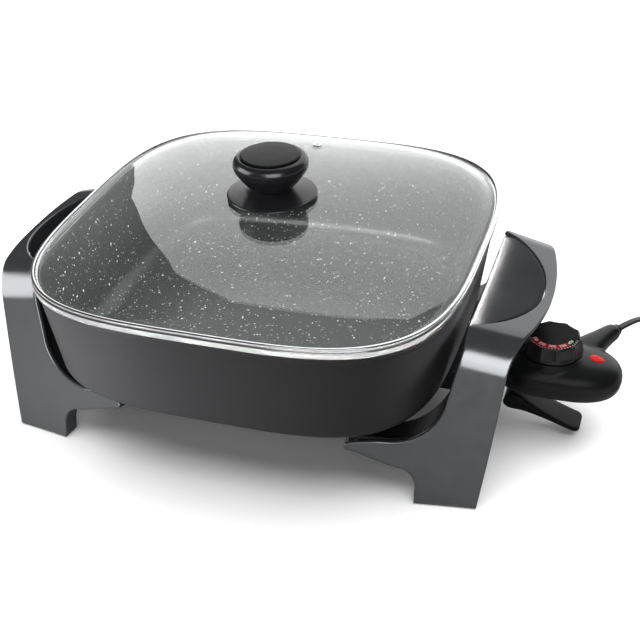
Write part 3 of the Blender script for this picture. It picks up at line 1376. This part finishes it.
@dataclass
class Cord(Assembly):
    """Flat two-core mains cord: out of the probe, down to the table, wound on edge, and its plug."""

    body: ClassVar[str] = "probe"
    width: float = 6.0
    thick: float = 3.0
    groove: float = 0.4
    groove_half: float = 0.7
    centre: tuple[float, float] = (322.0, 30.0)
    radius: float = 30.5
    turns: float = 2.817
    lie_z: float = 3.1
    coil_start: float = np.radians(40)
    twist_run: tuple[float, float] = (0.08, 0.22)
    exit_r: float = 59.1
    plug_at: tuple[float, float, float] = (381.0 - S.pan_x, 88.0, 9.5)
    plug_turn: float = np.radians(72)
    lead: tuple = ((235, 61.2, 62.7), (241, 70.6, 61.4), (248, 80.5, 58), (256.5, 89.5, 51.5),
                   (266, 96, 41.5), (275.5, 99.5, 30), (285, 100.5, 18.5), (295, 98.5, 9), (305, 93.5, 4.2),
                   (313.5, 87.5, 3.1), (322, 77.4, 3.1), (331, 66.7, 3.1), (338, 58.3, 3.1))
    tail: tuple = ((322, 61.7, 15.1), (330, 64, 15.1), (338, 66.3, 14.2), (346, 68.8, 12.4), (355, 71.4, 10),
                   (363.5, 74.2, 8), (371, 78.3, 6.9), (377.8, 84.2, 6.5), (381.6, 90, 6.5))

    def route(self) -> Array:
        """Centreline: the lead, a helix that climbs one cord width at the end of each turn, and the tail.

        The joined points are spaced evenly, and each is averaged with its neighbours under a bell curve. The
        ends are continued by their own mirror images, so that they stay where they are.

        Returns:
            Points in the CAD frame, in millimetres.
        """
        turn = np.linspace(0, self.turns, int(self.turns * 36))
        a = self.coil_start - turn * TAU
        z = self.lie_z + self.width * (smoothstep(turn, 0.7, 1.0) + smoothstep(turn, 1.7, 2.0))
        coil = polar(self.radius, a, z) + [*self.centre, 0.0]
        out = np.array([np.cos(S.snout_angle), np.sin(S.snout_angle), 0.0])
        exit_at = np.array([S.pan_x + S.house_x, 0, S.snout_z]) + self.exit_r * out
        line = curve_through(np.vstack([exit_at, exit_at + 6 * out, self.lead, coil, self.tail]), 900)
        reach = 18
        bell = np.exp(-0.5 * (np.arange(-reach, reach + 1) / 6.0) ** 2)
        padded = np.vstack([2 * line[0] - line[reach:0:-1], line, 2 * line[-1] - line[-2:-reach - 2:-1]])
        line = np.stack([np.convolve(padded[:, k], bell / bell.sum(), "valid") for k in range(3)], 1)
        return resample(line, 440)

    def build(self) -> None:
        path = self.route()
        a = around(28)
        u = self.width / 2 * lobe(np.cos(a), 0.9)
        v = np.sin(a) * (self.thick / 2 - self.groove * np.exp(-((u / self.groove_half) ** 2)))
        run = np.linspace(0, 1, len(path))
        twist = np.pi / 2 * smoothstep(run, *self.twist_run)[:, None]
        side, lift = tilted(u, v, twist)
        t = unit(np.gradient(path, axis=0))
        across = unit(np.cross(t, [0, 0, 1.0]))
        up = np.cross(across, t)
        p = path[:, None] + across[:, None] * side[..., None] + up[:, None] * lift[..., None]
        p[..., 2] = np.maximum(p[..., 2], 0.1)
        p = p - [S.pan_x, 0, 0]
        cord = Shell().grid(p).object("mains_cord", [self.finishes["cord_vinyl"]], 60)
        plug, blades, tie = self.plug(), self.blades(), self.tie()
        place(cord, self.body, "cord_jacket", "cord_lead", "cord_coil", "cord_tail")

    def at_plug(self, p: Array) -> Array:
        """Points of the plug's own frame, put beside the coil."""
        c, s = np.cos(self.plug_turn), np.sin(self.plug_turn)
        return p @ np.array([[c, s, 0], [-s, c, 0], [0, 0, 1]]) + self.plug_at

    def plug(self) -> Object:
        """Moulded plug: a rounded box whose section shrinks to the ribbed neck where the cord enters.

        Returns:
            The piece.
        """
        x = np.array([3, 3.6, 7, 11, 13.5, 15, 17, 22, 28, 31, 31.8, 32.0])
        half_y = np.array([3.6, 4.2, 4.6, 5.2, 6.6, 9.0, 11.0, 12.0, 12.0, 11.6, 10.6, 9.6])
        half_z = np.array([3.0, 3.8, 4.2, 4.8, 5.8, 7.2, 8.2, 8.5, 8.5, 8.2, 7.4, 6.6])
        lift = np.array([-3, -3, -3, -2.6, -1.8, -1.0, -0.3, 0, 0, 0, 0, 0])
        fine = np.linspace(0, 1, 60)
        grid = np.linspace(0, 1, len(x))
        x, half_y, half_z, lift = (np.interp(fine, grid, v) for v in (x, half_y, half_z, lift))
        half_y = half_y - 0.35 * (np.sin(x * 2.4) > 0.2) * (x < 13)
        a = around(64)
        y = half_y[:, None] * lobe(np.cos(a), 0.5)
        z = lift[:, None] + half_z[:, None] * lobe(np.sin(a), 0.5)
        shell = Shell().grid(self.at_plug(np.stack([x[:, None] + 0 * y, y, z], -1)))
        return self.piece(shell, "mains_plug", "plug_vinyl", "plug_plastic", "plug_body", crease=50)

    def blades(self) -> Object:
        """Two flat blades: boxes that narrow and thin out at their tips.

        Returns:
            The piece.
        """
        x = np.array([31.5, 44.0, 47.0, 48.6, 49.0])
        half = np.array([3.2, 3.2, 2.9, 2.2, 1.2])
        thick = np.array([0.75, 0.75, 0.75, 0.6, 0.35])
        corner = np.array([[-1, -1], [1, -1], [1, 1], [-1, 1]])
        z = half[:, None] * corner[None, :, 1]
        shell = Shell()
        for middle in (-6.35, 6.35):
            y = middle + thick[:, None] * corner[None, :, 0]
            shell.grid(self.at_plug(np.stack([x[:, None] + 0 * y, y, z], -1)))
        return self.piece(shell, "plug_blade_pair", "brass", "brass", "plug_blades")

    def tie(self) -> Object:
        """Wire tie: a flat band round the turns of the coil, its loop a rounded box kept above the table.

        Returns:
            The piece.
        """
        a = around(40)
        c, s = np.cos(a), np.sin(a)
        half, thick, lowest = 2.2, 0.5, 0.06
        y = self.centre[1] - 30.0 + 2.3 * lobe(c, 0.5)
        z = np.maximum(9.3 + 9.2 * lobe(s, 0.3), lowest)
        rows = []
        for off, grow in ((-half, 0), (half, 0), (half, thick), (-half, thick)):
            rise = np.maximum(z + grow * s, lowest)
            rows.append(np.stack([np.full(len(a), self.centre[0] + off), y + grow * c, rise], 1))
        shell = Shell().grid(np.stack(rows, 0) - [S.pan_x, 0, 0], loop_rows=True)
        return self.piece(shell, "cord_band", "black_phenolic", "cord_jacket", "cord_tie")


# ---------- studio ----------


@dataclass
class Studio:
    """Pale floor, soft lights and the camera."""

    azimuth: float = np.radians(21.19)
    elevation: float = np.radians(33.61)
    roll: float = np.radians(-3.30)
    distance: float = 956.52
    focal_px: float = 1187.87
    centre_px: tuple[float, float] = (280.85, 341.0)
    aim_z: float = 40.0
    clip: tuple[float, float] = (0.05, 50.0)
    floor_half: float = 6.0
    floor_seen: float = 0.92
    floor_lit: float = 0.30
    fade: tuple[float, float] = (0.9, 2.0)
    world_lit: float = 0.08

    def camera(self) -> None:
        """Camera that looks at a point over the table in the pan's middle, from its angles and distance."""
        ca, sa, ce = np.cos(self.azimuth), np.sin(self.azimuth), np.cos(self.elevation)
        d = np.array([sa * ce, -ca * ce, np.sin(self.elevation)])
        right = np.array([ca, sa, 0.0])
        side, up = tilted(right, np.cross(right, -d), -self.roll)
        spot = (np.array([S.pan_x, 0, self.aim_z]) + self.distance * d) * MM
        data = bpy.data.cameras.new("camera")
        data.sensor_width, data.lens = SENSOR_MM, self.focal_px / IMAGE_PX * SENSOR_MM
        data.shift_x = (IMAGE_PX / 2 - self.centre_px[0]) / IMAGE_PX
        data.shift_y = (self.centre_px[1] - IMAGE_PX / 2) / IMAGE_PX
        data.clip_start, data.clip_end = self.clip
        bpy.context.scene.camera = self.stand("camera", data, (side, up, d), spot)

    def stand(self, name: str, data: bpy.types.ID, axes: Sequence[Array], spot: Sequence[float]) -> Object:
        """Put up a camera or a light.

        Args:
            name: its name.
            data: the camera or the light.
            axes: the directions of its own X, Y and Z.
            spot: its place, in metres.

        Returns:
            The new object.
        """
        obj = add_object(name, data)
        turn = np.eye(4)
        turn[:3, :3], turn[:3, 3] = np.column_stack(axes), spot
        obj.matrix_world = Matrix(turn.tolist())
        return obj

    def light(self, name: str, at: tuple, aim: tuple, size: tuple, radiance: float, mirrored: bool = True,
              only: Sequence[str] = (), clear: bool = False) -> None:
        """Add a rectangular area light that faces its aim point.

        Args:
            name: the light's name.
            at: its place, in metres.
            aim: the point that it faces.
            size: its width and height.
            radiance: how bright its face is; its power is that times pi and its area.
            mirrored: it shows in glossy surfaces.
            only: the pieces that it falls on; left out, it falls on all of them.
            clear: nothing but those pieces stands in its way.
        """
        data = bpy.data.lights.new(name, "AREA")
        data.shape, data.size, data.size_y = "RECTANGLE", size[0], size[1]
        data.energy = radiance * np.pi * size[0] * size[1]
        back = unit(np.array(at, float) - np.array(aim, float))
        side = unit(np.cross([0, 0, 1.0], back)) if abs(back[2]) < 0.999 else np.array([1.0, 0, 0])
        obj = self.stand(name, data, (side, np.cross(back, side), back), at)
        obj.visible_camera, obj.visible_glossy, obj.visible_transmission = False, mirrored, mirrored
        if only:
            group = bpy.data.collections.new(f"{name}_lit")
            for piece in only:
                group.objects.link(bpy.data.objects[piece])
            obj.light_linking.receiver_collection = group
            if clear:
                obj.light_linking.blocker_collection = group
                # a ray that meets the light beyond the glass isn't counted as the piece's,
                # so the light is only sampled from the piece directly
                data.cycles.use_multiple_importance_sampling = False

    def floor(self) -> None:
        """Wide pale floor, whiter to the eye than to the pieces that it lights, and plain white far off."""
        mesh = bpy.data.meshes.new("floor")
        h = self.floor_half
        mesh.from_pydata([(-h, -h, 0), (h, -h, 0), (h, h, 0), (-h, h, 0)], [], [(0, 1, 2, 3)])
        obj = add_object("floor", mesh)
        paper, n = blank("floor_paper")
        seen, lit = (n.add("BsdfDiffuse", Color=(v, v, v, 1.0)) for v in (self.floor_seen, self.floor_lit))
        at = n.add("TexCoord").outputs["Object"]
        away = n.add("VectorMath", operation="LENGTH", In_0=at).outputs["Value"]
        white = n.add("Emission", Color=(1.0, 1.0, 1.0, 1.0), Strength=1.0)
        far = n.add("MixShader", In_0=n.ramp(away, *self.fade), In_1=seen.outputs[0], In_2=white.outputs[0])
        eye = n.add("LightPath").outputs["Is Camera Ray"]
        n.end(n.add("MixShader", In_0=eye, In_1=lit.outputs[0], In_2=far.outputs[0]).outputs[0])
        mesh.materials.append(paper)

    def world(self) -> None:
        """Soft white surroundings, brighter to the eye than to the surfaces that they light."""
        world = bpy.data.worlds.new("studio")
        bpy.context.scene.world = world
        world.use_nodes = True
        tree = world.node_tree
        tree.nodes.clear()
        n = Nodes(tree)
        eye = n.add("LightPath").outputs["Is Camera Ray"]
        seen, lit = (n.add("Background", Color=(1, 1, 1, 1), Strength=v) for v in (1.0, self.world_lit))
        mix = n.add("MixShader", In_0=eye, In_1=lit.outputs[0], In_2=seen.outputs[0])
        out = tree.nodes.new("ShaderNodeOutputWorld")
        tree.links.new(mix.outputs[0], out.inputs[0])

    def build(self) -> None:
        """Make the floor, world and lights, and set the picture's tone."""
        self.floor()
        self.world()
        bright = ("left_handle", "right_handle", "knob_head", "knob_skirt_shape")
        pan = ("pan",)
        light = self.light
        light("backdrop", (0.05, 1.5, 1.5), (0.05, 0.0, 1.5), (2.5, 3.0), 1.6)
        light("overhead", (0.0, -0.1, 2.2), (0.0, 0.0, 0.0), (2.6, 2.6), 1.9, mirrored=False)
        light("key", (0.5, -2.1, 1.3), (0.0, 0.0, 0.1), (2.0, 1.2), 1.4)
        light("wash", (0.1, 0.2, 2.8), (0.1, 0.2, 0.0), (5.0, 4.5), 2.3, mirrored=False, only=("floor",))
        light("left_low", (-0.18, -0.27, 0.07), (-0.1, -0.15, 0.08), (0.05, 0.13), 56, mirrored=False,
              only=("pan", "left_handle"))
        light("inner_left", (1.3, 1.0, 0.50), (-0.1, 0.0, 0.1), (0.8, 0.5), 80, mirrored=False, only=pan)
        light("fillet", (-0.5, -0.5, 1.65), (-0.03, 0.12, 0.07), (1.3, 0.6), 9, only=pan, clear=True)
        light("fillet_corner", (0.85, -0.15, 1.5), (-0.13, 0.1, 0.07), (0.6, 0.6), 12, only=pan, clear=True)
        light("haze", (-2.0, 1.6, 3.2), (0.0, 0.0, 0.0), (20.0, 20.0), 0.22, only=("lid_dome",))
        light("rim_bounce", (0.0, 0.0, 0.004), (0.0, 0.0, 1.0), (2.4, 2.4), 0.5, only=("lid_channel",),
              clear=True)
        light("front_right", (0.75, -1.50, 0.64), (0.1, -0.1, 0.1), (1.3, 1.26), 7.5, only=bright)
        light("left_front", (-1.75, -0.67, 0.68), (-0.1, 0.0, 0.1), (1.5, 1.25), 7.5, only=bright)
        light("inlay_edge", (-0.72, 1.37, 1.0), (0.15, 0.0, 0.11), (1.1, 1.0), 58,
              only=("right_handle_inlay_panel",), clear=True)
        view = bpy.context.scene.view_settings
        view.view_transform, view.look, view.exposure, view.gamma = "Standard", "None", 0.0, 1.0


def main() -> None:
    """Build the camera and the cord, then the pan, lid, handles, probe, dial, lever and studio."""
    logging.basicConfig(level=logging.INFO, format="%(message)s")
    studio = Studio()
    studio.camera()
    finishes = make_finishes()
    Cord(finishes).build()
    Pan(finishes).build()
    Lid(finishes).build()
    for side in Side:
        Handle(finishes, side).build()
    Probe(finishes).build()
    Dial(finishes).build()
    Lever(finishes).build()
    studio.build()


if __name__ == "__main__":
    main()
